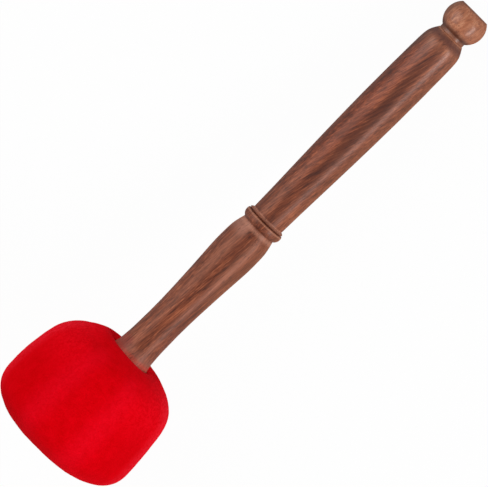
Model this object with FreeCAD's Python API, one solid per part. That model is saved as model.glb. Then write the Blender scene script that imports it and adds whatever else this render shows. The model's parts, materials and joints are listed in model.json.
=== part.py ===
import FreeCAD, Part
import math
import os

# A singing bowl mallet: a turned hardwood handle tenoned and screwed into a wooden drum, which is
# padded with wool felt and wrapped in a thick felt cover.
# Each piece is drawn along +X, the axis of the turning, with zero at the foot of the handle, where
# its flat end sits on the felt. The head is on the -X side and the knob at the far +X end. All the
# pieces are then laid down together as the mallet lies on a table, on the side of its head and on
# its knob. The row's origin is under the middle of the mallet, on the table, with +Z up.
# Sizes are in millimetres and angles in degrees.

# Handle, in places measured from the foot
handle_length = 254.75
foot_radius = 11.9
waist_radius = 9.9
waist_place = 25.2
swell_radius = 12.15
swell_place = 79.6
ring_place = 96.0
ring_length = 6.8
ring_radius = 12.05
ring_root_radius = 10.15
ring_lip_radius = 11.4
groove_place = 5.3
groove_width = 0.9
groove_depth = 0.7
grip_root_radius = 9.92
grip_radius = 11.93
barrel_place = 185.7
barrel_length = 20.7
neck_radius = 7.9
neck_length = 1.85
neck_step = 0.3
knob_radius = 11.9
knob_curve_radius = 10.5
knob_flat_radius = 8.65

# Outlines of the turned handle: places as shares of the stretch that each outline spans, and radii
# as shares of the rise or fall over that stretch
foot_shares = ((0.09, 0.36), (0.22, 0.61), (0.48, 0.86))
lower_shares = ((0.22, 0.07), (0.42, 0.275), (0.73, 0.69))
swell_end_shares = ((0.27, 0.03), (0.52, 0.135), (0.79, 0.54))
grip_shares = ((0.22, 0.21), (0.55, 0.64), (0.87, 0.93))
grip_end_shares = ((0.28, 0.03), (0.63, 0.075), (0.76, 0.15), (0.83, 0.27), (0.895, 0.49), (0.96, 0.8))
ring_peak_share = 0.51
ring_lip_bulge_share = 0.08

# Handle inside the head
hidden_neck_radius = 9.0
tenon_radius = 7.0

# Outline of the felt head: arcs that run into each other, from the middle of the striking face out
# to the widest place and in again to the lip of felt round the handle's foot
head_radius = 42.5
face_depth = 67.0
brow_radius = 24.5
corner_radius = 16.5
shoulder_radius = 21.9
lip_place_radius = 17.7
lip_height = 1.9
rim_height = 0.15
dome_turn = 13.4
brow_turn = 25.5
side_turn = 11.3
shoulder_turn = 45.5
crown_turn = 10.5

# How far the felt gives under the mallet's weight, where the head lies on the table
rest_depth = 0.3

# Layers of the head. The wooden core fills what the felt leaves.
cover_thickness = 8.0
face_pad_thickness = 11.2
crown_pad_thickness = 4.9
wrap_thickness = 11.1
core_edge = 1.5

# Screw and washer in the end of the core
web_thickness = 5.0
counterbore_radius = 9.5
counterbore_depth = 5.0
washer_radius = 8.0
washer_thickness = 1.6
screw_radius = 2.5
screw_length = 32.0
screw_tip_length = 5.0
pilot_margin = 3.0
screw_head_radius = 4.6
screw_head_height = 2.6
drive_slot_width = 1.1
drive_slot_length = 5.6
drive_slot_depth = 1.3

# Clearances
tenon_fit = 0.1
tenon_end_gap = 0.5
foot_fit = 0.15
felt_fit = 0.1
glue_line = 0.15
washer_fit = 0.25
screw_fit = 0.05
screw_clearance = 0.3
overrun = 5.0

# The lip falls from its crest to the rim of the handle's foot, in one arc
lip_run = lip_place_radius - foot_radius - foot_fit
lip_drop = lip_height - rim_height
lip_radius = (lip_run**2 + lip_drop**2) / (2 * lip_drop)

# The core, between the pads and inside the wrap, and the tenon, which ends at the web of wood
# that the screw pulls on
core_radius = head_radius - cover_thickness - wrap_thickness
core_depth = cover_thickness - lip_height + crown_pad_thickness
core_length = face_depth - cover_thickness - face_pad_thickness - core_depth
tenon_length = core_length - counterbore_depth - web_thickness

FULL_TURN = 360.0
RIGHT_ANGLE = 90.0
AXIS = FreeCAD.Vector(1, 0, 0)


def at(place, radius):
    """A point of an outline: its place along the axis and its distance from it."""
    return FreeCAD.Vector(place, 0, radius)


def line(start, end):
    return Part.makeLine(at(*start), at(*end))


def path(*corners):
    """Straight edges through the corners, one after another."""
    return [line(start, end) for start, end in zip(corners, corners[1:])]


def turned(edges):
    """The solid that a closed outline sweeps when it is turned about the axis."""
    face = Part.Face(Part.Wire(Part.__sortEdges__(edges)))
    return face.revolve(FreeCAD.Vector(), AXIS, FULL_TURN)


def drum(place, length, radius):
    """A plain cylinder about the axis, from a place towards the knob."""
    return Part.makeCylinder(radius, length, FreeCAD.Vector(place, 0, 0), AXIS)


def blend(start, end, shares, start_slope=None, end_slope=None):
    """A smooth outline from start to end through shares of the length and of the change in radius."""
    run = end[0] - start[0]
    rise = end[1] - start[1]
    points = [at(*start)]
    points += [at(start[0] + run * along, start[1] + rise * out) for along, out in shares]
    points.append(at(*end))
    curve = Part.BSplineCurve()
    tangents = {}
    if start_slope is not None:
        tangents["InitialTangent"] = at(1, start_slope)
    if end_slope is not None:
        tangents["FinalTangent"] = at(1, end_slope)
    curve.interpolate(Points=points, **tangents)
    return curve.toShape()


def arc(start, middle, end):
    return Part.Arc(at(*start), at(*middle), at(*end)).toShape()


def handle_outline():
    """The outside of the handle from the rim of its foot to the middle of the knob's flat end."""
    ring_end = ring_place + ring_length
    ring_peak = ring_place + ring_length * ring_peak_share
    neck_end = knob_centre() - knob_reach(neck_radius)
    neck_start = neck_end - neck_length
    barrel_end = barrel_place + barrel_length
    foot = (0, foot_radius)
    waist = (waist_place, waist_radius)
    swell = (swell_place, swell_radius)
    lower_end = (ring_place, ring_root_radius)
    upper_start = (ring_end, grip_root_radius)
    barrel = (barrel_place, grip_radius)
    edges = [blend(foot, waist, foot_shares, end_slope=0)]
    edges.append(blend(waist, swell, lower_shares, start_slope=0, end_slope=0))
    edges.append(blend(swell, lower_end, swell_end_shares, start_slope=0))
    edges += ring_outline(lower_end, (ring_peak, ring_radius), upper_start)
    edges.append(blend(upper_start, barrel, grip_shares, end_slope=0))
    edges.append(line(barrel, (barrel_end, grip_radius)))
    grip_end = (neck_start, neck_radius + neck_step)
    edges.append(blend((barrel_end, grip_radius), grip_end, grip_end_shares, start_slope=0))
    edges += path(grip_end, (neck_start, neck_radius), (neck_end, neck_radius))
    knob_rim = (handle_length, knob_flat_radius)
    edges.append(arc((neck_end, neck_radius), (knob_centre(), knob_radius), knob_rim))
    edges.append(line(knob_rim, (handle_length, 0)))
    return edges


def knob_reach(radius):
    """How far from the middle of the knob its outline has a radius. The ball is slightly flattened."""
    return math.sqrt(knob_curve_radius**2 - (knob_curve_radius - knob_radius + radius) ** 2)


def knob_centre():
    """The middle of the knob, where it is widest."""
    return handle_length - knob_reach(knob_flat_radius)


def ring_outline(start, peak, end):
    """The bead ring: a round bead, a fine V groove past its peak, and a narrow lip down to the grip."""
    drop = peak[1] - start[1]
    bead_radius = ((peak[0] - start[0]) ** 2 + drop**2) / (2 * drop)

    def bead(place):
        return place, peak[1] - bead_radius + math.sqrt(bead_radius**2 - (place - peak[0]) ** 2)

    groove_start = bead(start[0] + groove_place - groove_width / 2)
    groove_floor = (start[0] + groove_place, ring_lip_radius - groove_depth)
    groove_end = (start[0] + groove_place + groove_width / 2, ring_lip_radius)
    lip_run = end[0] - groove_end[0]
    lip_drop = groove_end[1] - end[1]
    lip_middle = (
        groove_end[0] + lip_run / 2 + lip_drop * ring_lip_bulge_share,
        groove_end[1] - lip_drop / 2 + lip_run * ring_lip_bulge_share,
    )
    edges = [arc(start, bead((start[0] + peak[0]) / 2), peak)]
    edges.append(arc(peak, bead((peak[0] + groove_start[0]) / 2), groove_start))
    edges += path(groove_start, groove_floor, groove_end)
    edges.append(arc(groove_end, lip_middle, end))
    return edges


def handle():
    """Turned rosewood, in one piece from the knob to the tenon, with the screw's hole in its end."""
    tenon_end = -core_depth - tenon_length
    stem = path(
        (handle_length, 0),
        (tenon_end, 0),
        (tenon_end, tenon_radius),
        (-core_depth, tenon_radius),
        (-core_depth, hidden_neck_radius),
        (0, hidden_neck_radius),
        (0, foot_radius),
    )
    hole_start = tenon_end - overrun
    hole_length = screw_end() + pilot_margin - hole_start
    hole = drum(hole_start, hole_length, screw_radius + screw_fit)
    return turned(handle_outline() + stem).cut(hole)


def screw_end():
    """Where the screw's tip ends in the tenon."""
    counterbore_floor = -core_depth - core_length + counterbore_depth
    return counterbore_floor - washer_thickness + screw_length


def outline_radii():
    """The radii of the dome, crown and side, which close the outline of the head.

    The dome reaches the head's radius with the brow and the corner. The crown and the side
    together carry the outline from the lip out to the head's radius and down to its widest place.
    """
    front = [math.radians(angle) for angle in (dome_turn, dome_turn + brow_turn)]
    brow_reach = brow_radius * (math.sin(front[1]) - math.sin(front[0]))
    corner_reach = corner_radius * (1 - math.sin(front[1]))
    dome_radius = (head_radius - brow_reach - corner_reach) / math.sin(front[0])
    front_length = dome_radius * (1 - math.cos(front[0]))
    front_length += brow_radius * (math.cos(front[0]) - math.cos(front[1]))
    front_length += corner_radius * math.cos(front[1])

    side = math.radians(RIGHT_ANGLE - side_turn)
    shoulder = math.radians(RIGHT_ANGLE - side_turn - shoulder_turn)
    crown = math.radians(RIGHT_ANGLE - side_turn - shoulder_turn - crown_turn)
    reach = head_radius - lip_place_radius - lip_radius * math.sin(crown)
    reach -= shoulder_radius * (math.sin(side) - math.sin(shoulder))
    length = face_depth + lip_height - front_length - lip_radius * (1 - math.cos(crown))
    length -= shoulder_radius * (math.cos(shoulder) - math.cos(side))
    crown_reach = math.sin(shoulder) - math.sin(crown)
    crown_length = math.cos(crown) - math.cos(shoulder)
    side_reach = 1 - math.sin(side)
    side_length = math.cos(side)
    scale = crown_reach * side_length - crown_length * side_reach
    crown_radius = (reach * side_length - length * side_reach) / scale
    side_radius = (length * crown_reach - reach * crown_length) / scale
    return dome_radius, crown_radius, side_radius


def head_arcs(inset):
    """The arcs of the head's outline, from the middle of the striking face to the lip.

    Each arc is its centre, its radius and the directions of its two ends, counted from the +X side.
    """
    dome_radius, crown_radius, side_radius = outline_radii()
    corner_turn = RIGHT_ANGLE - dome_turn - brow_turn
    rows = (
        (dome_radius, dome_turn),
        (brow_radius, brow_turn),
        (corner_radius, corner_turn),
        (side_radius, side_turn),
        (shoulder_radius, shoulder_turn),
        (crown_radius, crown_turn),
    )
    place = -face_depth
    radius = 0
    direction = math.pi
    arcs = []
    for arc_radius, turn in rows:
        centre = (
            place - arc_radius * math.cos(direction),
            radius - arc_radius * math.sin(direction),
        )
        end = direction - math.radians(turn)
        arcs.append((centre, arc_radius - inset, direction, end))
        place = centre[0] + arc_radius * math.cos(end)
        radius = centre[1] + arc_radius * math.sin(end)
        direction = end
    return arcs


def on_arc(centre, radius, direction):
    return centre[0] + radius * math.cos(direction), centre[1] + radius * math.sin(direction)


def head_outline(inset):
    """The outline's edges at an inset from the outside of the felt, and their two ends."""
    arcs = head_arcs(inset)
    edges = []
    for centre, radius, start, end in arcs:
        places = [on_arc(centre, radius, angle) for angle in (start, (start + end) / 2, end)]
        edges.append(arc(*places))
    first = on_arc(arcs[0][0], arcs[0][1], arcs[0][2])
    last = on_arc(arcs[-1][0], arcs[-1][1], arcs[-1][3])
    return edges, first, last


def felt_cover():
    """Thick red wool felt, felted in place. The handle's foot is pressed into its lip."""
    outside, face, lip_start = head_outline(0)
    inside, inner_face, inner_crown = head_outline(cover_thickness)
    lip_end = (rim_height, foot_radius + foot_fit)
    hole_radius = hidden_neck_radius + felt_fit
    rim = path(
        lip_end,
        (0, lip_end[1]),
        (0, hole_radius),
        (inner_crown[0], hole_radius),
        inner_crown,
    )
    lip = arc(lip_start, (lip_height, lip_place_radius), lip_end)
    return turned(outside + [lip] + rim + inside + [line(inner_face, face)])


def padding():
    """All that fills the cover, as one body that the felt pads and the wrap are cut from."""
    edges, face, crown = head_outline(cover_thickness + glue_line)
    return turned(edges + path(crown, (crown[0], 0), face))


def face_pad():
    """Thick felt disc between the core and the striking face."""
    core_end = -core_depth - core_length
    return padding().common(drum(-face_depth, face_depth + core_end - glue_line, head_radius))


def crown_pad():
    """Felt ring round the handle's hidden neck, on the core's other end."""
    core_top = -core_depth + glue_line
    hole = drum(-core_depth, core_depth, hidden_neck_radius + felt_fit)
    return padding().common(drum(core_top, core_depth, head_radius)).cut(hole)


def padding_wrap():
    """Felt strip wound round the core into a thick sleeve."""
    core_end = -core_depth - core_length
    inside = drum(core_end - overrun, core_length + 2 * overrun, core_radius + glue_line)
    return padding().common(drum(core_end, core_length, head_radius)).cut(inside)


def head_core():
    """Turned drum of light wood, bored for the tenon and counterbored for the screw's washer."""
    core_end = -core_depth - core_length
    side = core_radius - core_edge
    body = turned(
        path(
            (-core_depth, 0),
            (-core_depth, side),
            (-core_depth - core_edge, core_radius),
            (core_end + core_edge, core_radius),
            (core_end, side),
            (core_end, 0),
            (-core_depth, 0),
        )
    )
    bore_length = tenon_length + tenon_end_gap
    bore = drum(-core_depth - bore_length, bore_length + overrun, tenon_radius + tenon_fit)
    counterbore = drum(core_end - overrun, counterbore_depth + overrun, counterbore_radius)
    screw_hole = drum(core_end, core_length - bore_length, screw_radius + screw_clearance)
    return body.cut(bore).cut(counterbore).cut(screw_hole)


def core_washer():
    """Flat steel washer on the floor of the counterbore."""
    floor = -core_depth - core_length + counterbore_depth
    ring = drum(floor - washer_thickness, washer_thickness, washer_radius)
    hole_radius = screw_radius + washer_fit
    return ring.cut(drum(floor - washer_thickness, washer_thickness, hole_radius))


def core_screw():
    """Steel wood screw with a pan head and a cross drive. Its thread is drawn as a plain shank."""
    seat = -core_depth - core_length + counterbore_depth - washer_thickness
    head_end = seat - screw_head_height
    head_middle = seat - screw_head_height / 2
    pan_radius = screw_head_radius - screw_head_height / 2
    tip_start = seat + screw_length - screw_tip_length
    tip = seat + screw_length
    shank = path(
        (head_end, pan_radius),
        (head_end, 0),
        (tip, 0),
        (tip_start, screw_radius),
        (seat, screw_radius),
        (seat, screw_head_radius),
        (head_middle, screw_head_radius),
    )
    bulge = (screw_head_height / 2) * math.sqrt(0.5)
    crown = arc(
        (head_middle, screw_head_radius),
        (head_middle - bulge, pan_radius + bulge),
        (head_end, pan_radius),
    )
    screw = turned(shank + [crown])
    for width, height in (
        (drive_slot_width, drive_slot_length),
        (drive_slot_length, drive_slot_width),
    ):
        corner = FreeCAD.Vector(head_end - overrun, -width / 2, -height / 2)
        screw = screw.cut(Part.makeBox(drive_slot_depth + overrun, width, height, corner))
    return screw


def resting_tilt():
    """How far the axis slopes down to the knob when the mallet lies on a table.

    The table touches the curve of the knob, and goes into the felt of the head's side by its give.
    """
    centre, radius, _, _ = head_arcs(rest_depth)[3]
    run = knob_centre() - centre[0]
    rise = knob_radius - knob_curve_radius - centre[1]
    lean = math.asin((radius - knob_curve_radius) / math.hypot(run, rise))
    return math.degrees(lean - math.atan2(rise, run))


def pressed_flat(felt):
    """The felt as it lies: only what is above the table stays."""
    width = 2 * head_radius
    length = handle_length + face_depth
    corner = FreeCAD.Vector(-length, -width, 0)
    return felt.common(Part.makeBox(2 * length, 2 * width, 2 * width, corner))


def lay_down(pieces):
    """Puts the pieces as they lie on a table, with the origin under the middle of the mallet."""
    tilt = FreeCAD.Rotation(FreeCAD.Vector(0, 1, 0), resting_tilt())
    knob = tilt.multVec(FreeCAD.Vector(knob_centre(), 0, knob_curve_radius - knob_radius))
    lift = FreeCAD.Vector(0, 0, knob_curve_radius - knob.z)
    for piece in pieces.values():
        piece.Placement = FreeCAD.Placement(lift, tilt)
    pieces["felt_cover"] = pressed_flat(pieces["felt_cover"])
    box = Part.makeCompound(list(pieces.values())).optimalBoundingBox(False)
    for piece in pieces.values():
        piece.translate(FreeCAD.Vector(-box.Center.x, -box.Center.y, 0))


def main():
    makers = (
        handle,
        felt_cover,
        head_core,
        core_screw,
        core_washer,
        padding_wrap,
        face_pad,
        crown_pad,
    )
    pieces = {maker.__name__: maker() for maker in makers}
    lay_down(pieces)
    os.makedirs("parts", exist_ok=True)
    for name, piece in pieces.items():
        piece.exportStep(f"parts/{name}.step")


main()
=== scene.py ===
import json
import math
import bmesh
import bpy
from mathutils import Matrix, Vector, noise


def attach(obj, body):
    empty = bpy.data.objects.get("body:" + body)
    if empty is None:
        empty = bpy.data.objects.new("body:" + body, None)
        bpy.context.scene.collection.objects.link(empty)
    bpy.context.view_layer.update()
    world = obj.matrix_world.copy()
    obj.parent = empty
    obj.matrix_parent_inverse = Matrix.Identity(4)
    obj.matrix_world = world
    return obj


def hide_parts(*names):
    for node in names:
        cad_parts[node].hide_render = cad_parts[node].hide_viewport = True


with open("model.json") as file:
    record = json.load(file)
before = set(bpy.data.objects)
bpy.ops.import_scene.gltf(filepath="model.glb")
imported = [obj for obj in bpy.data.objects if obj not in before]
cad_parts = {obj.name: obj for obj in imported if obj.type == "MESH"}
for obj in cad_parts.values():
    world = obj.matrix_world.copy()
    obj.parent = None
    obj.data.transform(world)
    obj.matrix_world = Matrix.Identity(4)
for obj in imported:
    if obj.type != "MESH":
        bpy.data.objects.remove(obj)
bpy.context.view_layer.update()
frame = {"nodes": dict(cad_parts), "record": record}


# The handle: one piece of reddish rosewood with its bead ring, neck and ball knob, turned
# between centres, sanded and varnished to a satin. Out of sight its tenon is glued and screwed
# into the wooden core of the head. Places on the mallet are in metres from the handle's foot.

handle_length = 0.25475
turning_steps = 160
edge_rounding = 0.00022
touching = 1e-6

knob_end = next(mount for mount in frame["record"]["mounts"] if mount["name"] == "knob_end")
turning_axis = Vector(knob_end["axis"])
foot = Vector(knob_end["pos_m"]) - turning_axis * handle_length
axis_turn = turning_axis.to_track_quat("X", "Z").to_matrix().to_4x4()
lathe_to_table = Matrix.Translation(foot) @ axis_turn
table_to_lathe = lathe_to_table.inverted()


def lathe_outline(node):
    """The outline of a turned CAD node as a chain of edges, cut from a copy on the lathe's axis."""
    piece = bmesh.new()
    piece.from_mesh(frame["nodes"][node].data)
    bmesh.ops.remove_doubles(piece, verts=piece.verts, dist=touching)
    bmesh.ops.transform(piece, matrix=table_to_lathe, verts=piece.verts)
    everything = piece.verts[:] + piece.edges[:] + piece.faces[:]
    bmesh.ops.bisect_plane(piece, geom=everything, dist=touching, plane_co=(0, 0, 0),
                           plane_no=(0, 1, 0), clear_inner=True, clear_outer=True)
    halves = piece.verts[:] + piece.edges[:]
    bmesh.ops.bisect_plane(piece, geom=halves, dist=touching, plane_co=(0, 0, 0),
                           plane_no=(0, 0, 1), clear_inner=True)
    return piece


def spin_round(piece, steps):
    """Turns a chain of edges once round the lathe's axis into a closed skin."""
    bmesh.ops.spin(piece, geom=piece.verts[:] + piece.edges[:], cent=(0, 0, 0), axis=(1, 0, 0),
                   dvec=(0, 0, 0), angle=math.tau, steps=steps, use_merge=True)
    bmesh.ops.remove_doubles(piece, verts=piece.verts, dist=2 * touching)
    bmesh.ops.recalc_face_normals(piece, faces=piece.faces)


def round_edges(piece, width, least_angle=25):
    """Sands every edge that is sharper than an angle."""
    sharp = [edge for edge in piece.edges if edge.is_manifold
             and abs(edge.calc_face_angle_signed(0)) > math.radians(least_angle)]
    bmesh.ops.bevel(piece, geom=sharp, offset=width, offset_type="OFFSET", segments=2,
                    profile=0.5, affect="EDGES", clamp_overlap=True, material=-1)


def lay_on_table(piece, name, finish, slot, *nodes):
    """Puts a piece from the lathe where it lies, as an object in place of its CAD nodes."""
    bmesh.ops.transform(piece, matrix=lathe_to_table, verts=piece.verts)
    for face in piece.faces:
        face.smooth = True
    mesh = bpy.data.meshes.new(name)
    piece.to_mesh(mesh)
    piece.free()
    mesh.materials.append(finish.material)
    made = bpy.data.objects.new(name, mesh)
    bpy.context.scene.collection.objects.link(made)
    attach(made, "root")
    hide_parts(*nodes)
    return made


class Value:
    """A socket of a node, so that sums on it are written as sums."""

    def __init__(self, nodes, socket):
        self.nodes = nodes
        self.socket = socket

    def __add__(self, other):
        return self.nodes.maths("ADD", self, other)

    def __radd__(self, other):
        return self.nodes.maths("ADD", other, self)

    def __sub__(self, other):
        return self.nodes.maths("SUBTRACT", self, other)

    def __rsub__(self, other):
        return self.nodes.maths("SUBTRACT", other, self)

    def __mul__(self, other):
        return self.nodes.maths("MULTIPLY", self, other)

    def __rmul__(self, other):
        return self.nodes.maths("MULTIPLY", other, self)

    def __truediv__(self, other):
        return self.nodes.maths("DIVIDE", self, other)

    def __pow__(self, other):
        return self.nodes.maths("POWER", self, other)

    def __abs__(self):
        return self.nodes.maths("ABSOLUTE", self)


class Nodes:
    """A tree of shader nodes, which are added one at a time."""

    def __init__(self, tree):
        self.tree = tree

    def feed(self, socket, value):
        if isinstance(value, Value):
            self.tree.links.new(value.socket, socket)
        else:
            socket.default_value = value

    def node(self, kind, settings=None, inputs=None, output=0):
        made = self.tree.nodes.new(kind)
        for name, value in (settings or {}).items():
            if name == "stops":
                ramp = made.color_ramp
                while len(ramp.elements) < len(value):
                    ramp.elements.new(0.5)
                for stop, (place, colour) in zip(ramp.elements, value):
                    stop.position = place
                    stop.color = colour
            else:
                setattr(made, name, value)
        for name, value in (inputs or {}).items():
            self.feed(made.inputs[name], value)
        return Value(self, made.outputs[output])

    def maths(self, operation, first, second=0.0):
        return self.node("ShaderNodeMath", {"operation": operation}, {0: first, 1: second})


class Finish(Nodes):
    """A material, from the places on its surface to what it does with light."""

    def __init__(self, name):
        self.material = bpy.data.materials.new(name)
        self.material.use_nodes = True
        super().__init__(self.material.node_tree)
        self.shader = self.tree.nodes["Principled BSDF"]

    def surface(self, **values):
        for name, value in values.items():
            self.feed(self.shader.inputs[name.replace("_", " ")], value)

    def relief(self, height, depth, strength):
        bump = self.node("ShaderNodeBump", {}, {
            "Height": height, "Distance": depth, "Strength": strength,
        })
        self.surface(Normal=bump)

    def on_lathe(self):
        """Object coordinates on the lathe's axis: x along it from the foot."""
        coordinates = self.node("ShaderNodeTexCoord", output="Object")
        return self.node("ShaderNodeMapping", {}, {
            "Vector": coordinates,
            "Location": table_to_lathe.to_translation(),
            "Rotation": table_to_lathe.to_euler(),
        })

    def apart(self, place):
        """How far a place is along the axis, to its side, above it, and from it."""
        parts = self.node("ShaderNodeSeparateXYZ", {}, {"Vector": place}).socket.node
        along, aside, above = [Value(self, socket) for socket in parts.outputs]
        return along, aside, above, (aside * aside + above * above) ** 0.5

    def stretched(self, place, stretch, turn=(0, 0, 0), shift=(0, 0, 0)):
        return self.node("ShaderNodeMapping", {}, {
            "Vector": place,
            "Location": shift,
            "Rotation": [math.radians(angle) for angle in turn],
            "Scale": stretch,
        })

    def clouds(self, place, scale=1.0, detail=2.0, roughness=0.5, distortion=0.0):
        return self.node("ShaderNodeTexNoise", {}, {
            "Vector": place, "Scale": scale, "Detail": detail, "Roughness": roughness,
            "Distortion": distortion,
        })

    def spread(self, value, low, high, to_low=0.0, to_high=1.0):
        """The value with low to high spread over the new range, softly at both ends."""
        settings = {"interpolation_type": "SMOOTHSTEP"}
        return self.node("ShaderNodeMapRange", settings, {
            "Value": value, "From Min": low, "From Max": high, "To Min": to_low,
            "To Max": to_high,
        })

    def between(self, place, start, full, last, end):
        """One from the full place to the last one, coming and going softly."""
        return self.spread(place, start, full) * self.spread(place, last, end, 1, 0)

    def near(self, value, middle, full, gone, share=1.0):
        """A share that is full as near as this to a middle, and gone at that distance from it."""
        return self.spread(abs(value - middle), full, gone, share, 0)

    def toned(self, figure, *stops):
        """A figure's levels as tones, blended from stop to stop."""
        return self.node("ShaderNodeValToRGB", {"stops": stops}, {"Fac": figure})

    def blended(self, share, first, second, kind="MIX"):
        """One colour laid over another by a share."""
        settings = {"data_type": "RGBA", "blend_type": kind}
        return self.node("ShaderNodeMix", settings, {0: share, 6: first, 7: second}, output=2)


def srgb(red, green, blue):
    """A colour as it is read off a screen, from 0 to 255."""
    def straight(level):
        share = level / 255
        return share / 12.92 if share < 0.04045 else ((share + 0.055) / 1.055) ** 2.4
    return straight(red), straight(green), straight(blue), 1


# The grain leans across the handle, and sweeps further over along the grip. A stretch of clouds
# gives how many there are to a metre: few along the grain and many across it.
rosewood = Finish("rosewood")
along, aside, above, off_axis = rosewood.apart(rosewood.on_lathe())
around = aside / off_axis
lean = along * 0.09 + rosewood.spread(along, 0.1, 0.26, 0, 0.024)
grain = rosewood.node("ShaderNodeCombineXYZ", {}, {"X": along, "Y": aside + lean, "Z": above})
bands = rosewood.clouds(rosewood.stretched(grain, (9, 150, 150), shift=(1, 4, 2)), detail=3)
streaks = rosewood.clouds(rosewood.stretched(grain, (38, 700, 700)), detail=4, roughness=0.62,
                          distortion=0.25)
dashes = rosewood.clouds(rosewood.stretched(grain, (120, 1500, 1500)), detail=3, roughness=0.65)
figure = bands * 0.22 + streaks * 0.36 + dashes * 0.42
wood = rosewood.toned(
    figure,
    (0.4, srgb(60, 24, 13)),
    (0.46, srgb(100, 48, 29)),
    (0.53, srgb(127, 66, 42)),
    (0.6, srgb(164, 94, 64)),
)

# The wood is painted paler half way from its middle to each side, most of all on the swell:
# painted highlights where the soft boxes light it. Just below the ring a painted highlight falls
# on the left box's side. On the grip that side is painted warmer, against the left box's grey
# reflection.
swell = rosewood.between(along, 0.052, 0.07, 0.086, 0.096)
swell = swell * rosewood.spread(around, 0, 0.4, 1.5, 0.8)
side_highlights = rosewood.near(abs(around), 0.46, 0.04, 0.36, 0.16) * (swell + 1)
wood = rosewood.blended(side_highlights, wood, srgb(186, 112, 80))
ring_highlight = rosewood.near(along, 0.092, 0, 0.007, 0.5) * rosewood.spread(around, 0.1, 0.5)
wood = rosewood.blended(ring_highlight, wood, srgb(192, 132, 112))
painted_warm_side = rosewood.spread(around, 0, 0.4) * rosewood.between(along, 0.11, 0.16, 0.21, 0.235)
wood = rosewood.blended(painted_warm_side, wood, (1, 0.8, 0.66, 1), "MULTIPLY")

# A dark streak of heartwood wanders along the middle, and is strongest on the grip. Along the top
# it is also painted shade: the dark between the two soft boxes' highlights.
wander = rosewood.clouds(rosewood.stretched(grain, (26, 90, 90)), detail=3) - 0.5
heart_side = rosewood.spread(along, 0.085, 0.11, -0.0013, -0.0004) - wander * 0.01
heart_side = heart_side + rosewood.spread(along, 0.11, 0.16, 0, -0.0014)
heart_side = heart_side + rosewood.spread(along, 0.17, 0.205, 0, 0.0015)
heart_and_shade = rosewood.near(aside, heart_side, 0.0012, 0.0044)
heart_and_shade_share = rosewood.spread(along, 0.02, 0.07, 0, 0.14)
heart_and_shade_share = heart_and_shade_share + rosewood.between(along, 0.115, 0.165, 0.2, 0.232) * 0.5
wood = rosewood.blended(heart_and_shade * heart_and_shade_share, wood, srgb(62, 25, 14))

# The knob shows a paler burr.
burr = rosewood.clouds(rosewood.stretched(grain, (170, 450, 450), turn=(0, 15, -25)), detail=4,
                       roughness=0.62, distortion=0.5)
knob_wood = rosewood.toned(
    figure * 0.3 + burr * 0.7,
    (0.36, srgb(128, 70, 44)),
    (0.5, srgb(171, 103, 70)),
    (0.64, srgb(201, 137, 103)),
)
wood = rosewood.blended(rosewood.spread(along, 0.222, 0.243, 0, 0.85), wood, knob_wood)

# Down its two sides the wood is painted duller, as shade where it turns from the light. Towards the
# knob this painted shade turns browner on one side and darker on the other.
turned_side = rosewood.spread(off_axis, 0.003, 0.0085)
low_side_shade = rosewood.spread(around, -0.95, -0.5, 0.4, 0) * turned_side
low_side_shade_tone = rosewood.blended(rosewood.spread(along, 0.02, 0.06), srgb(110, 54, 36),
                            srgb(150, 86, 52))
wood = rosewood.blended(low_side_shade, wood, low_side_shade_tone)
high_side_shade = rosewood.spread(around, 0.6, 1) * rosewood.spread(along, 0.05, 0.2, 0.2, 0.65)
wood = rosewood.blended(high_side_shade * turned_side, wood, srgb(58, 34, 26))

# Lines round the handle are painted light and shade: dark in the creases, the groove, the neck and
# at the rim of the knob's end, pale on the edges between them and on the foot, and red on the foot
# beside the felt, as the felt's red light. Each line round the handle has its place, how far it
# reaches to both sides, its share and its colour.
for place, width, share, colour in (
    (0.0040, 0.0060, 0.3, srgb(180, 118, 100)),
    (0.0017, 0.0028, 0.6, srgb(208, 80, 62)),
    (0.0945, 0.0022, 0.45, srgb(196, 136, 112)),
    (0.0966, 0.0014, 0.4, srgb(66, 28, 18)),
    (0.1004, 0.0008, 0.45, srgb(196, 136, 108)),
    (0.1014, 0.0007, 0.6, srgb(54, 20, 12)),
    (0.1027, 0.0010, 0.5, srgb(196, 136, 112)),
    (0.1041, 0.0010, 0.25, srgb(66, 28, 18)),
    (0.2343, 0.0040, 0.75, srgb(72, 26, 18)),
    (0.2366, 0.0005, 0.6, srgb(188, 124, 92)),
    (0.2394, 0.0029, 0.8, srgb(54, 20, 12)),
    (0.2545, 0.0009, 0.5, srgb(82, 36, 22)),
):
    wood = rosewood.blended(rosewood.near(along, place, 0, width, share), wood, colour)

# Beside the felt the foot is reddened on one side.
flushed = rosewood.near(along, 0.0055, 0.0015, 0.006, 0.55) * rosewood.spread(around, 0.3, 0.6)
wood = rosewood.blended(flushed, wood, srgb(132, 36, 30))

# Dark pores show in the varnish, which the hand has polished on the grip and the knob.
pores = rosewood.clouds(rosewood.stretched(grain, (210, 1900, 1900), shift=(3, 1, 7)), detail=1)
pores = rosewood.spread(pores, 0.6, 0.7)
seen_flat = rosewood.node("ShaderNodeLayerWeight", {}, {"Blend": 0.5}, output="Facing")
handled = rosewood.spread(along, 0.05, 0.2, 0.05, 0.17) + rosewood.spread(along, 0.2, 0.24, 0, 0.3)
rosewood.surface(
    Base_Color=rosewood.blended(pores * 0.5, wood, srgb(50, 20, 13)),
    Roughness=rosewood.spread(streaks, 0.3, 0.7, 0.5, 0.42) + seen_flat * seen_flat * 0.4,
    Specular_IOR_Level=0.2,
    Coat_Weight=rosewood.spread(seen_flat, 0.1, 0.7, 1, 0) * handled,
    Coat_Roughness=0.25,
)
rosewood.relief(figure * 0.3 - pores, depth=0.00005, strength=0.5)

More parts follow.
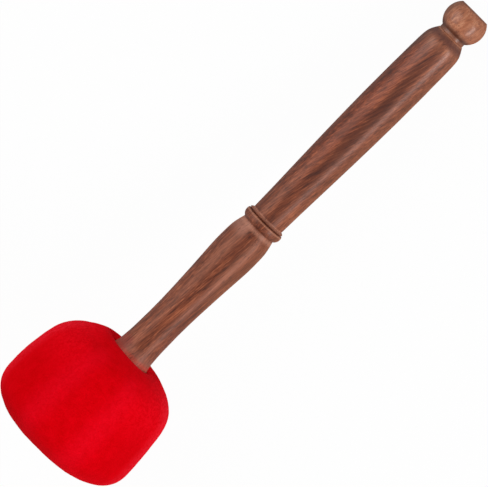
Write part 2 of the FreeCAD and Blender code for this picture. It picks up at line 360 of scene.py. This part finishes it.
handle = lathe_outline("handle")
spin_round(handle, turning_steps)
round_edges(handle, edge_rounding)
lay_on_table(handle, "turned_handle", rosewood, "rosewood", "handle")


# The core of the head: a drum of plain light wood, turned, bored for the handle's tenon and
# counterbored in its outer end for the washer. It is left bare.

core_wood = Finish("core_wood")
core_place = core_wood.on_lathe()
core_rings = core_wood.clouds(core_wood.stretched(core_place, (6, 320, 60)))
core_fibres = core_wood.clouds(core_wood.stretched(core_place, (60, 1900, 1900)))
core_figure = core_rings * 0.65 + core_fibres * 0.35
core_wood.surface(
    Base_Color=core_wood.toned(
        core_figure,
        (0.36, srgb(172, 132, 88)),
        (0.5, srgb(203, 168, 122)),
        (0.64, srgb(222, 194, 150)),
    ),
    Roughness=core_wood.spread(core_fibres, 0.3, 0.7, 0.55, 0.72),
)
core_wood.relief(core_figure, depth=0.00006, strength=0.6)
frame["nodes"]["head_core"].data.materials[0] = core_wood.material


# The washer and the wood screw: zinc-plated steel, stamped and rolled. The screw goes through
# the washer and the core's web into the end of the tenon.

zinc = Finish("zinc_plate")
zinc_place = zinc.on_lathe()
zinc_clouds = zinc.clouds(zinc_place, scale=260, detail=3)
zinc_scratches = zinc.clouds(zinc.stretched(zinc_place, (300, 2600, 700)))
zinc.surface(
    Base_Color=zinc.blended(zinc_clouds, srgb(196, 197, 196), srgb(214, 211, 199)),
    Metallic=1.0,
    Roughness=zinc.spread(zinc_scratches, 0.3, 0.7, 0.3, 0.46),
)
zinc.relief(zinc_scratches, depth=0.00001, strength=0.5)
for node in ("core_washer", "core_screw"):
    frame["nodes"][node].data.materials[0] = zinc.material


# The padding wrap: a strip of undyed wool felt, glued as it is wound round the core in three
# layers, and pressed to the curve of the head by the cover that is felted over it.

head_radius = 0.0425
face_middle = -0.067
brow_radius = 0.0245
corner_radius = 0.0165
shoulder_radius = 0.0219
dome_turn = 13.4
brow_turn = 25.5
side_turn = 11.3
shoulder_turn = 45.5
crown_turn = 10.5
lip_crest = 0.0019
lip_crest_radius = 0.0177
lip_rim = 0.00015
foot_hole = 0.01205

cover_thickness = 0.008
wrap_thickness = 0.0111
face_pad_thickness = 0.0112
crown_pad_thickness = 0.0049
glue_line = 0.00015
wrap_inside = head_radius - cover_thickness - wrap_thickness + glue_line
core_end = face_middle + cover_thickness + face_pad_thickness
core_top = lip_crest - cover_thickness - crown_pad_thickness
padding_rounding = 0.0006
padding_spacing = 0.0012


def span(start, end):
    """How far along and off the axis an arc of unit radius goes between two directions."""
    start, end = math.radians(start), math.radians(end)
    return Vector((math.cos(start) - math.cos(end), math.sin(end) - math.sin(start)))


# The head's outline is a chain of arcs that run into each other: dome, brow, corner, side,
# shoulder, crown and lip. The dome closes its front. The crown and the side close its back, from
# the lip, which falls to the rim of the handle's foot. They are rounded to a thousandth of a
# millimetre.
lip_run = lip_crest_radius - foot_hole
lip_drop = lip_crest - lip_rim
lip_radius = (lip_run**2 + lip_drop**2) / (2 * lip_drop)
brow_end = dome_turn + brow_turn
side_start = 90 - side_turn
crown_end = side_start - shoulder_turn
crown_start = crown_end - crown_turn
front = brow_radius * span(dome_turn, brow_end) + corner_radius * span(brow_end, 90)
dome_radius = (head_radius - front.y) / span(0, dome_turn).y
front += dome_radius * span(0, dome_turn)
back = Vector((lip_crest - face_middle - front.x, head_radius - lip_crest_radius))
back -= lip_radius * span(0, crown_start) + shoulder_radius * span(crown_end, side_start)
closing_arcs = Matrix((span(crown_start, crown_end), span(side_start, 90))).transposed()
crown_radius, side_radius = closing_arcs.inverted() @ back
head_arcs = (
    (round(dome_radius, 6), dome_turn),
    (brow_radius, brow_turn),
    (corner_radius, 90 - brow_end),
    (round(side_radius, 6), side_turn),
    (shoulder_radius, shoulder_turn),
    (round(crown_radius, 6), crown_turn),
)


def towards(heading):
    return Vector((math.cos(heading), 0, math.sin(heading)))


def bend(piece, tip, centre, turn, steps):
    """Carries a chain on from its last point, in an arc round a centre."""
    arc = bmesh.ops.spin(piece, geom=[tip], cent=centre, axis=(0, 1, 0), dvec=(0, 0, 0),
                         angle=math.radians(turn), steps=steps)
    return next(item for item in arc["geom_last"] if isinstance(item, bmesh.types.BMVert))


def reach(piece, tip, place, radius):
    """Carries a chain on from its last point, straight to a place and a radius."""
    tip = bmesh.ops.extrude_vert_indiv(piece, verts=[tip])["verts"][0]
    tip.co = (place, 0, radius)
    return tip


def head_outline(piece, depth, spacing):
    """The head's outline at a depth under its skin, from the striking face to the lip.

    It gives the chain's last point, its place on the skin and its direction from the last centre.
    """
    tip = piece.verts.new((face_middle + depth, 0, 0))
    place = Vector((face_middle, 0, 0))
    heading = math.pi
    for radius, turn in head_arcs:
        centre = place - radius * towards(heading)
        steps = max(2, round((radius - depth) * math.radians(turn) / spacing))
        tip = bend(piece, tip, centre, turn, steps)
        heading -= math.radians(turn)
        place = centre + radius * towards(heading)
    return tip, place, heading


def felt_layer(start, end, inside):
    """The outline of padding felt under the cover, between two places and outside a radius."""
    piece = bmesh.new()
    head_outline(piece, cover_thickness + glue_line, padding_spacing)
    for place, clear_inner in ((start, True), (end, False)):
        everything = piece.verts[:] + piece.edges[:]
        bmesh.ops.bisect_plane(piece, geom=everything, dist=touching / 10, plane_co=(place, 0, 0),
                               plane_no=(1, 0, 0), clear_inner=clear_inner,
                               clear_outer=not clear_inner)
    everything = piece.verts[:] + piece.edges[:]
    bmesh.ops.bisect_plane(piece, geom=everything, dist=touching / 10, plane_co=(0, 0, inside),
                           plane_no=(0, 0, 1), clear_inner=True)
    ends = [vert for vert in piece.verts if len(vert.link_edges) == 1]
    first, last = sorted(ends, key=lambda vert: vert.co.x)
    if first.co.z > inside + touching:
        first = reach(piece, first, first.co.x, inside)
    if last.co.z > inside + touching:
        last = reach(piece, last, last.co.x, inside)
    if inside > 0 or first.co.z > touching:
        piece.edges.new((first, last))
    return piece


def uneven(piece, height, size, seed):
    """Felt is never quite even: moves the skin in and out along its normals."""
    piece.normal_update()
    offset = Vector((seed, seed * 2, seed * 3))
    for vert in piece.verts:
        vert.co += vert.normal * height * noise.noise(vert.co / size + offset)


fibre_size = 0.0013


def wool_felt(name, colour, pale):
    """Wool felt: matted fibres, a little mottled, with the velvety sheen of its nap."""
    felt = Finish(name)
    place = felt.on_lathe()
    mottle = felt.clouds(place, scale=170, detail=3, roughness=0.6)
    mat = felt.clouds(place, scale=1 / fibre_size, detail=5, roughness=0.7, distortion=1.6)
    lie = felt.clouds(felt.stretched(place, (520, 170, 900), turn=(20, 35, 50)), detail=3,
                      roughness=0.65, distortion=0.8)
    wool = felt.spread(mottle * 0.33 + mat * 0.42 + lie * 0.25, 0.37, 0.63)
    wool = felt.blended(wool, colour, pale)
    felt.surface(
        Base_Color=wool,
        Roughness=felt.spread(mat, 0.3, 0.7, 0.9, 1.0),
        Specular_IOR_Level=0.0,
        Sheen_Weight=0.08,
        Sheen_Roughness=0.5,
    )
    felt.relief(mat * 0.6 + lie * 0.4, depth=0.00022, strength=0.8)
    return felt, place, wool


layer_thickness = 0.0037
undyed = srgb(196, 188, 168)
undyed_pale = srgb(222, 216, 200)
undyed_sheen = (1.0, 0.97, 0.9, 1.0)

# The ends of the wrap show a dark line between its layers, which runs inwards as a spiral.
wound_felt, wound_place, wound_wool = wool_felt("wound_felt", undyed, undyed_pale)
wound_along, wound_aside, wound_above, wound_off_axis = wound_felt.apart(wound_place)
wound_turn = wound_felt.maths("ARCTAN2", wound_above, wound_aside) / math.tau
layers = (wound_off_axis - wrap_inside) / layer_thickness + wound_turn
layer = wound_felt.maths("FRACT", layers)
wrap_middle = (core_end + core_top) / 2
wrap_half = (core_top - core_end) / 2
from_middle = abs(wound_along - wrap_middle)
wrap_ends = wound_felt.spread(from_middle, wrap_half - 0.001, wrap_half - 0.0003)
layer_lines = wound_felt.spread(abs(layer - 0.5), 0.43, 0.49) * wrap_ends
wound_felt.surface(
    Base_Color=wound_felt.blended(layer_lines * 0.7, wound_wool, srgb(120, 108, 86)),
    Sheen_Tint=undyed_sheen,
)

wrap = felt_layer(core_end, core_top, wrap_inside)
spin_round(wrap, steps=180)
round_edges(wrap, padding_rounding)
uneven(wrap, height=0.00012, size=0.004, seed=3)
wrap = lay_on_table(wrap, "wound_padding", wound_felt, "padding_felt", "padding_wrap")


# The face pad: a thick disc of the same felt, glued on the core's outer end, so that the head
# strikes softly.

padding_felt, _, _ = wool_felt("padding_felt", undyed, undyed_pale)
padding_felt.surface(Sheen_Tint=undyed_sheen)

face_pad = felt_layer(face_middle, core_end - glue_line, 0)
spin_round(face_pad, steps=150)
round_edges(face_pad, padding_rounding)
uneven(face_pad, height=0.00012, size=0.004, seed=8)
face_pad = lay_on_table(face_pad, "face_padding", padding_felt, "padding_felt", "face_pad")


# The crown pad: a ring of the same felt round the handle's hidden neck. It is glued on the
# core's other end, and fills the head up to the cover.

neck_hole = 0.0091

crown_pad = felt_layer(core_top + glue_line, 0, neck_hole)
spin_round(crown_pad, steps=120)
round_edges(crown_pad, padding_rounding)
uneven(crown_pad, height=0.00008, size=0.003, seed=5)
crown_pad = lay_on_table(crown_pad, "crown_padding", padding_felt, "padding_felt", "crown_pad")


# The cover of the head: thick wool felt, dyed red and felted in place over the padding with
# needles, without a seam. The handle's foot is pressed into its soft lip.

red_felt, felt_place, red_wool = wool_felt("red_felt", srgb(204, 0, 7), srgb(224, 1, 15))
felt_along, felt_aside, _, felt_off_axis = red_felt.apart(felt_place)
felt_around = felt_aside / felt_off_axis

# Paler, pinker felt is painted where the light falls: painted sheen in a band on each side, on the
# shoulders and at the rim, and painted light round the handle's foot, against the shade of the
# lip. A speckle of tufts breaks each of them up.
tufts = red_felt.clouds(felt_place, scale=600, detail=3, roughness=0.65, distortion=0.8)
tufts = red_felt.spread(tufts, 0.4, 0.6, 0.25, 1)
skirt = red_felt.spread(felt_off_axis, 0.022, 0.038)
side_sheen = red_felt.near(abs(felt_around), 0.36, 0, 0.25, 0.3) * skirt
red_wool = red_felt.blended(side_sheen * (tufts + 0.5), red_wool, srgb(246, 14, 36))
shoulder_sheen = red_felt.spread(abs(felt_aside), 0.010, 0.032)
shoulder_sheen = shoulder_sheen * red_felt.spread(felt_along, -0.034, -0.006)
red_wool = red_felt.blended(shoulder_sheen * tufts, red_wool, srgb(246, 10, 28))
rim_sheen = red_felt.spread(abs(felt_around), 0.88, 1) * skirt
red_wool = red_felt.blended(rim_sheen * tufts * 0.75, red_wool, srgb(250, 42, 62))
foot_light = red_felt.spread(felt_off_axis, 0.0135, 0.0175, 0.9, 0)
foot_light = foot_light * red_felt.spread(felt_along, -0.02, -0.005)
red_wool = red_felt.blended(foot_light * tufts, red_wool, srgb(255, 16, 30))

# Down the sides a deeper red is painted as shade. Across the striking face it is painted light on
# one side and shade on the other.
beside = red_felt.spread(abs(felt_around), 0.5, 0.85, 0, 0.35) * skirt
red_wool = red_felt.blended(beside, red_wool, srgb(184, 0, 6))
face_shade = red_felt.spread(felt_along, -0.066, -0.050, 1, 0)
face_shade_wool = red_felt.blended(red_felt.spread(felt_aside, -0.036, 0.036), srgb(246, 0, 14),
                               srgb(178, 0, 0))
red_felt.surface(
    Base_Color=red_felt.blended(face_shade * tufts * 0.9, red_wool, face_shade_wool),
    Sheen_Tint=(0.6, 0.12, 0.17, 1.0),
)

cover = bmesh.new()
skin = cover.verts.layers.float.new("nap")
tip, place, heading = head_outline(cover, 0, spacing=0.0009)
lip_turn = round(crown_start + math.degrees(math.asin(lip_run / lip_radius)), 2)
lip_centre = place - round(lip_radius, 6) * towards(heading)
tip = bend(cover, tip, lip_centre, lip_turn, steps=9)
for vert in cover.verts:
    vert[skin] = 1
tip = reach(cover, tip, 0, foot_hole)
tip = reach(cover, tip, 0, neck_hole)
inner_tip, _, _ = head_outline(cover, cover_thickness, spacing=0.003)
tip = reach(cover, tip, inner_tip.co.x, neck_hole)
cover.edges.new((tip, inner_tip))
spin_round(cover, steps=300)

# The lumps of the felted wool: their height, their size, and where in the noise they lie.
lumps = (
    (0.00030, 0.017, Vector((0, 0, 0))),
    (0.00012, 0.0055, Vector((7, 0, 0))),
    (0.00006, 0.0017, Vector((0, 9, 0))),
)
# Where the cover is fuller or leaner than the turned outline: the place, how far it reaches, and
# how much it adds on the left side and on the right side.
bulges = (
    (-0.035, 0.060, 0.00015, -0.00015),
    (-0.007, 0.009, -0.00065, 0.00065),
    (0.000, 0.004, 0, 0.0002),
    (-0.0205, 0.0085, 0, 0.00045),
    (-0.040, 0.009, 0.0003, 0),
    (-0.047, 0.007, -0.00035, 0.00035),
    (-0.061, 0.008, 0.0005, 0.0001),
)
# On the handle's side of this place the skin keeps still round the foot. The lip leans there: it
# stands higher on the left than on the right, and more so at the top.
handle_side = -0.02
foot_fade = 0.004
lip_lean = 0.042
top_lean = 0.02
lean_end = 0.028
lean_fade = 0.010

cover.normal_update()
for vert in cover.verts:
    if vert[skin] > 0.5:
        place = vert.co.copy()
        off_centre = math.hypot(place.y, place.z)
        fade = 1
        if place.x >= handle_side:
            fade = min(1, max(0, (off_centre - foot_hole) / foot_fade))
        rise = sum(height * noise.noise(place / size + shift) for height, size, shift in lumps)
        if off_centre > 0:
            for middle, width, left, right in bulges:
                fullness = (left if place.y > 0 else right) * abs(place.y) / off_centre
                rise += fullness * math.exp(-((place.x - middle) / width) ** 2)
        vert.co += vert.normal * rise * fade
        if place.x > handle_side:
            leaning = fade * min(1, max(0, (lean_end - off_centre) / lean_fade))
            vert.co.x += leaning * place.y * (lip_lean + top_lean * place.z / off_centre)

# Where it lies on the table it is pressed flat.
bmesh.ops.transform(cover, matrix=lathe_to_table, verts=cover.verts)
for vert in cover.verts:
    vert.co.z = max(vert.co.z, 0)
bmesh.ops.transform(cover, matrix=table_to_lathe, verts=cover.verts)
cover = lay_on_table(cover, "felt_head", red_felt, "red_felt", "felt_cover")


# The table: a white sheet, lit by two long soft boxes, one on each side of the mallet, and by
# the light room round it. Sheet and room look plain white, but for the mallet's faint shadow.

sheet_white = (0.75, 0.75, 0.75, 1)
plain_white = (1, 1, 1, 1)
glow_share = 0.97
room_level = 0.31


def looked_at(nodes):
    """One for what is seen straight, in a gloss or through glass, and nothing for what lights."""
    camera_ray = nodes.node("ShaderNodeLightPath", output="Is Camera Ray")
    outputs = camera_ray.socket.node.outputs
    glossy_ray = Value(nodes, outputs["Is Glossy Ray"])
    through_ray = Value(nodes, outputs["Is Transmission Ray"])
    return camera_ray + glossy_ray + through_ray


table = bmesh.new()
bmesh.ops.create_grid(table, x_segments=1, y_segments=1, size=4)
sheet = bpy.data.meshes.new("table")
table.to_mesh(sheet)
table.free()
table_top = bpy.data.objects.new("table", sheet)
bpy.context.scene.collection.objects.link(table_top)

white = Finish("white_table")
white.surface(Base_Color=sheet_white, Roughness=0.9, Specular_IOR_Level=0.1)
glow = white.node("ShaderNodeEmission", {}, {"Color": plain_white, "Strength": 1.0})
shaded = Value(white, white.shader.outputs[0])
mixed = white.node("ShaderNodeMixShader", {}, {
    0: looked_at(white) * glow_share, 1: shaded, 2: glow,
})
white.feed(white.tree.nodes["Material Output"].inputs["Surface"], mixed)
sheet.materials.append(white.material)

room = bpy.data.worlds.new("room")
bpy.context.scene.world = room
room.use_nodes = True
room_nodes = Nodes(room.node_tree)
room_light = room.node_tree.nodes["Background"]
room_nodes.feed(room_light.inputs["Color"], plain_white)
room_nodes.feed(room_light.inputs["Strength"], room_nodes.node("ShaderNodeMapRange", {}, {
    "Value": looked_at(room_nodes), "To Min": room_level, "To Max": 1.0,
}))

box_distance = 1.3
box_length = 1.5
mallet_middle = Vector((0, 0, 0.04))


def soft_box(name, tilt, width, power, colour):
    """A long soft box beside the mallet, at a tilt from straight overhead."""
    lamp = bpy.data.lights.new(name, "AREA")
    lamp.shape = "RECTANGLE"
    lamp.size = box_length
    lamp.size_y = width
    lamp.energy = power
    lamp.color = colour
    box = bpy.data.objects.new(name, lamp)
    bpy.context.scene.collection.objects.link(box)
    angle = math.radians(tilt)
    box.location = mallet_middle + Vector((0, math.sin(angle), math.cos(angle))) * box_distance
    box.rotation_euler = (-angle, 0, 0)


soft_box("left_box", tilt=52, width=1.2, power=12.3, colour=(1.0, 0.985, 0.97))
soft_box("right_box", tilt=-57.5, width=0.4, power=13.2, colour=(1.0, 1.0, 1.0))


# The camera: high over the mallet on a long lens, so that the mallet lies from the lower left
# to the upper right.

camera_above = 1.7392
camera_along = 0.2788
aim_along = 0.08497
aim_aside = -0.00007
handle_angle = 44.95
pixel = 0.00052203
image_width = 488

sideways = Vector((0, 1, 0))
overhead = turning_axis.cross(sideways)
station = foot + turning_axis * camera_along + overhead * camera_above
aim = foot + turning_axis * aim_along + sideways * aim_aside
picture_out = (station - aim).normalized()
up_handle = (turning_axis - turning_axis.dot(picture_out) * picture_out).normalized()
across_handle = picture_out.cross(up_handle)
roll = math.radians(handle_angle)
picture_right = up_handle * math.cos(roll) - across_handle * math.sin(roll)
picture_up = up_handle * math.sin(roll) + across_handle * math.cos(roll)

lens = bpy.data.cameras.new("camera")
lens.lens = lens.sensor_width * (station - aim).length / (pixel * image_width)
lens.clip_start = 0.1
lens.clip_end = 20
camera = bpy.data.objects.new("camera", lens)
bpy.context.scene.collection.objects.link(camera)
camera.matrix_world = Matrix((picture_right, picture_up, picture_out)).transposed().to_4x4()
camera.location = station
bpy.context.scene.camera = camera

bpy.context.scene.view_settings.view_transform = "Standard"
